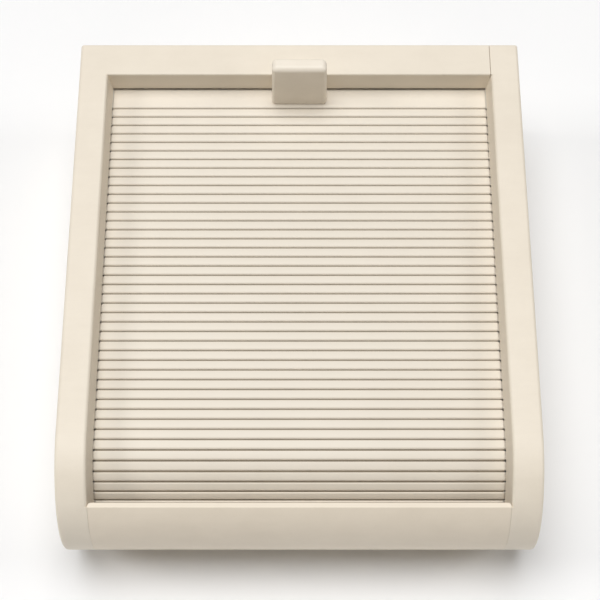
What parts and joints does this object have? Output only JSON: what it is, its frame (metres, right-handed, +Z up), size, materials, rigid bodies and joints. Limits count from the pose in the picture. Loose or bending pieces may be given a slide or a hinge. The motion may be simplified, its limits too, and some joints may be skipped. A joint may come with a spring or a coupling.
{
  "type": "desktop roll top box",
  "caption": "Desktop storage box with a rounded nose and a slatted roll top that slides forward by an upright pull and runs down into the nose.",
  "frame": {"origin": "on the table, under the middle of the box's footprint", "axes": "+X to the right as seen from the front, +Y to the back, +Z up; the rounded nose is at the front, at -Y"},
  "size_m": [0.3, 0.3376, 0.1422],
  "materials": {
    "body_ivory": "fine matt moulded, ivory",
    "panel_ivory": "fine matt moulded, ivory",
    "tray_ivory": "fine matt moulded, ivory",
    "slat_ivory": "fine matt moulded, ivory",
    "pull_ivory": "fine matt moulded, ivory",
    "hinge_soft": "soft matt strip",
    "track_nylon": "natural nylon",
    "pad_rubber": "matt black",
    "foot_rubber": "matt black",
    "screw_steel": "zinc plated"
  },
  "bodies": {
    "case": {"left_body": "body_ivory", "right_cheek": "body_ivory", "front_panel": "body_ivory", "back_panel": "panel_ivory", "base_panel": "panel_ivory", "inner_tray": "tray_ivory", "left_track": "track_nylon", "right_track": "track_nylon", "left_stop_pad": "pad_rubber", "right_stop_pad": "pad_rubber", "tambour_run_slats": "slat_ivory", "tambour_bend_slats": "slat_ivory", "tambour_run_hinges": "hinge_soft", "tambour_bend_hinges": "hinge_soft", "base_screws": "screw_steel", "back_screws": "screw_steel", "left_tray_screws": "screw_steel", "right_tray_screws": "screw_steel", "left_track_screws": "screw_steel", "right_track_screws": "screw_steel", "foot_front_left": "foot_rubber", "foot_front_right": "foot_rubber", "foot_rear_left": "foot_rubber", "foot_rear_right": "foot_rubber"},
    "curtain_head": {"leading_bar": "slat_ivory", "left_glide": "track_nylon", "right_glide": "track_nylon", "pull_handle": "pull_ivory", "handle_screws": "screw_steel"}
  },
  "joints": [
    {"name": "tambour_slide", "type": "slide", "parent": "case", "child": "curtain_head", "axis": [0, -1, 0], "range_m": [0, 0.238], "deforming": ["tambour_run_slats", "tambour_run_hinges"]}
  ]
}
